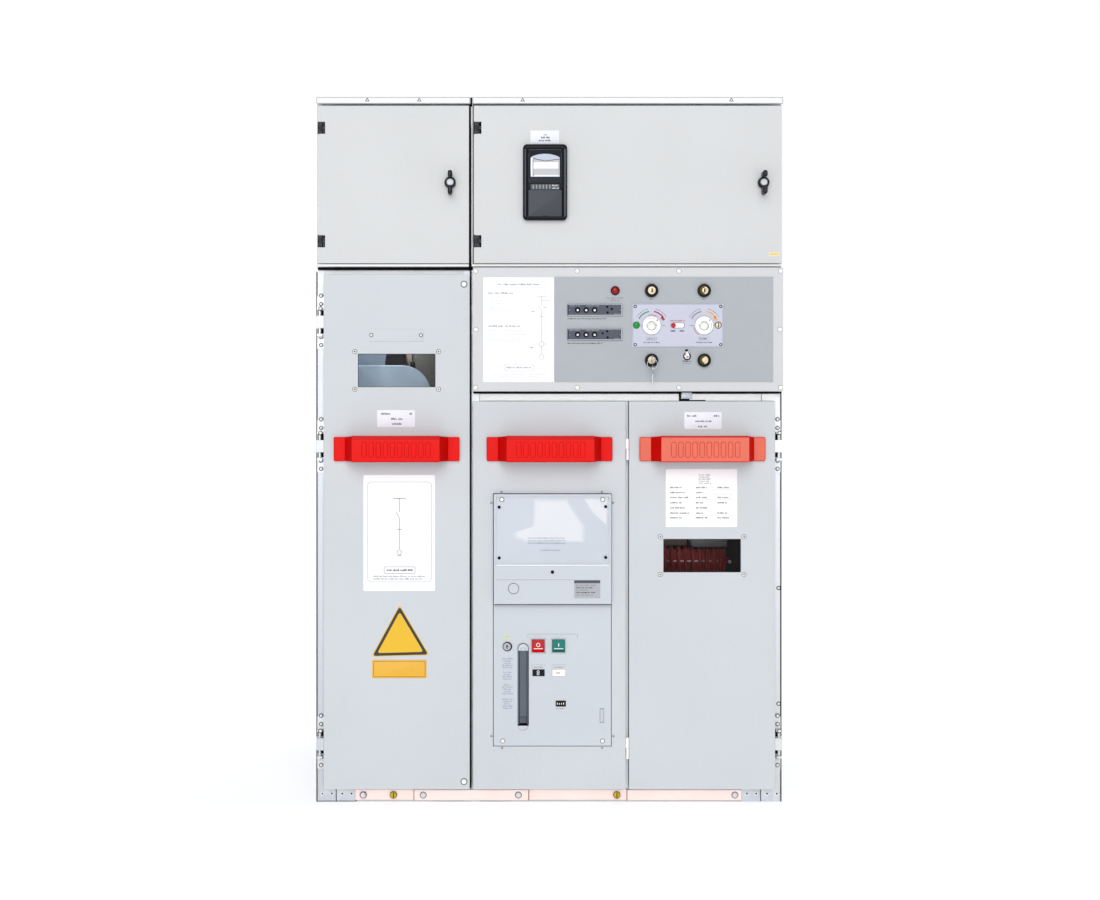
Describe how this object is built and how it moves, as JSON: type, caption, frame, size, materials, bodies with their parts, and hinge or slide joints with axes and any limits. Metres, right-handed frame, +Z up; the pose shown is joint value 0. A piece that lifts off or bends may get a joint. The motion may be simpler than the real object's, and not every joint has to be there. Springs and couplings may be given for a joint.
{
  "type": "medium voltage switchgear",
  "caption": "Metal-clad medium voltage switchgear: incoming cabinet and breaker cabinet with hinged doors, operating panel and low voltage boxes.",
  "frame": {"origin": "on the floor, under the middle of the whole switchgear", "axes": "+Z up, +X to the right as seen from the front, the doors face -Y"},
  "size_m": [1.125, 1.0924, 1.7],
  "materials": {
    "cabinet_sheet": "satin",
    "galvanised": "satin",
    "door_paint": "satin",
    "lv_paint": "satin",
    "panel_paint": "satin",
    "fascia_grey": "satin",
    "drive_plate": "satin",
    "copper": "satin",
    "zinc": "satin",
    "black_plastic": "satin",
    "relay_plastic": "satin",
    "indicator_plastic": "satin",
    "white_plastic": "gloss",
    "breaker_plastic": "satin",
    "clear": "gloss",
    "red_handle": "matte",
    "red_plastic": "gloss",
    "green_plastic": "gloss",
    "brass": "polished",
    "nickel": "polished",
    "lever_grey": "matte",
    "interlock_steel": "satin",
    "housing_resin": "satin",
    "insulator_resin": "gloss",
    "bushing_grey": "satin",
    "cradle_steel": "satin"
  },
  "bodies": {
    "cabinet": {"incomer_side_walls": "cabinet_sheet", "breaker_side_walls": "cabinet_sheet", "back_walls": "cabinet_sheet", "roof_plates": "cabinet_sheet", "shelves": "galvanised", "base_frames": "galvanised", "floor_plates": "galvanised", "earth_bar": "copper", "center_partition": "galvanised", "panel_rail": "galvanised", "left_lv_box": "lv_paint", "right_lv_box": "lv_paint", "lv_lids": "galvanised", "lv_hinge_blocks": "black_plastic", "operating_panel": "panel_paint", "panel_frame": "panel_paint", "fascia": "fascia_grey", "drive_plate": "drive_plate", "lock_bezels": "black_plastic", "lock_cylinders": "brass", "hanging_keys": "nickel", "pilot_lamp": "red_plastic", "voltage_indicators": "indicator_plastic", "toggle_bush": "nickel", "interlock_tongue": "interlock_steel", "breaker_case": "breaker_plastic", "breaker_cover": "breaker_plastic", "breaker_shield": "clear", "breaker_cradle": "cradle_steel", "door_hinge_brackets": "zinc", "seam_hinges": "zinc", "switch_housing": "housing_resin", "switch_actuator": "black_plastic", "post_insulator": "insulator_resin", "cable_bushing": "bushing_grey"},
    "left_lv_leaf": {"left_lv_door": "lv_paint", "left_lv_knuckles": "black_plastic"},
    "left_lv_latch": {"left_lv_knob": "black_plastic"},
    "right_lv_leaf": {"right_lv_door": "lv_paint", "right_lv_knuckles": "black_plastic", "relay_case": "relay_plastic"},
    "right_lv_latch": {"right_lv_knob": "black_plastic"},
    "incomer_leaf": {"incomer_door": "door_paint", "incomer_knuckles": "zinc", "incomer_handle": "red_handle", "incomer_window": "clear"},
    "breaker_leaf": {"breaker_door": "door_paint", "breaker_door_knuckles": "zinc", "breaker_handle": "red_handle"},
    "cable_leaf": {"cable_door": "door_paint", "cable_door_knuckles": "zinc", "cable_handle": "red_handle", "cable_window": "clear"},
    "line_drive_disc": {"line_drive": "white_plastic"},
    "earth_drive_disc": {"earth_drive": "white_plastic"},
    "selector": {"selector_slide": "red_plastic"},
    "toggle": {"toggle_lever": "nickel"},
    "charging_handle": {"charging_lever": "lever_grey"},
    "open_key": {"open_button": "red_plastic"},
    "close_key": {"close_button": "green_plastic"}
  },
  "joints": [
    {"name": "left_lv_door_hinge", "type": "hinge", "parent": "cabinet", "child": "left_lv_leaf", "pos_m": [-0.5525, -0.47475, 1.4895], "axis": [0, 0, -1], "range_deg": [0, 100]},
    {"name": "left_lv_latch_turn", "type": "hinge", "parent": "left_lv_leaf", "child": "left_lv_latch", "pos_m": [-0.2385, -0.47375, 1.4935], "axis": [0, -1, 0], "range_deg": [0, 90]},
    {"name": "right_lv_door_hinge", "type": "hinge", "parent": "cabinet", "child": "right_lv_leaf", "pos_m": [-0.1765, -0.47475, 1.4895], "axis": [0, 0, -1], "range_deg": [0, 100]},
    {"name": "right_lv_latch_turn", "type": "hinge", "parent": "right_lv_leaf", "child": "right_lv_latch", "pos_m": [0.5145, -0.47375, 1.4935], "axis": [0, -1, 0], "range_deg": [0, 90]},
    {"name": "incomer_door_hinge", "type": "hinge", "parent": "cabinet", "child": "incomer_leaf", "pos_m": [-0.5525, -0.47675, 0.654], "axis": [0, 0, -1], "range_deg": [0, 100]},
    {"name": "breaker_door_hinge", "type": "hinge", "parent": "cabinet", "child": "breaker_leaf", "pos_m": [0.1875, -0.48725, 0.501], "axis": [0, 0, 1], "range_deg": [0, 75]},
    {"name": "cable_door_hinge", "type": "hinge", "parent": "cabinet", "child": "cable_leaf", "pos_m": [0.5525, -0.47675, 0.501], "axis": [0, 0, 1], "range_deg": [0, 100]},
    {"name": "line_drive_turn", "type": "hinge", "parent": "cabinet", "child": "line_drive_disc", "pos_m": [0.2445, -0.47375, 1.1495], "axis": [0, -1, 0], "range_deg": [0, 90]},
    {"name": "earth_drive_turn", "type": "hinge", "parent": "cabinet", "child": "earth_drive_disc", "pos_m": [0.3705, -0.47375, 1.1495], "axis": [0, -1, 0], "range_deg": [0, 90]},
    {"name": "selector_travel", "type": "slide", "parent": "cabinet", "child": "selector", "axis": [1, 0, 0], "range_m": [0, 0.017]},
    {"name": "toggle_tilt", "type": "hinge", "parent": "cabinet", "child": "toggle", "pos_m": [0.33, -0.49125, 1.0755], "axis": [1, 0, 0], "range_deg": [0, 24]},
    {"name": "charging_lever_pull", "type": "hinge", "parent": "cabinet", "child": "charging_handle", "pos_m": [-0.063, -0.47375, 0.202], "axis": [1, 0, 0], "range_deg": [0, 80], "stiffness_Nm_per_rad": 0.2, "springref_deg": -28.65},
    {"name": "open_button_press", "type": "slide", "parent": "cabinet", "child": "open_key", "axis": [0, 1, 0], "range_m": [0, 0.004], "stiffness_N_per_m": 400, "springref_m": -0.002},
    {"name": "close_button_press", "type": "slide", "parent": "cabinet", "child": "close_key", "axis": [0, 1, 0], "range_m": [0, 0.004], "stiffness_N_per_m": 400, "springref_m": -0.002}
  ]
}
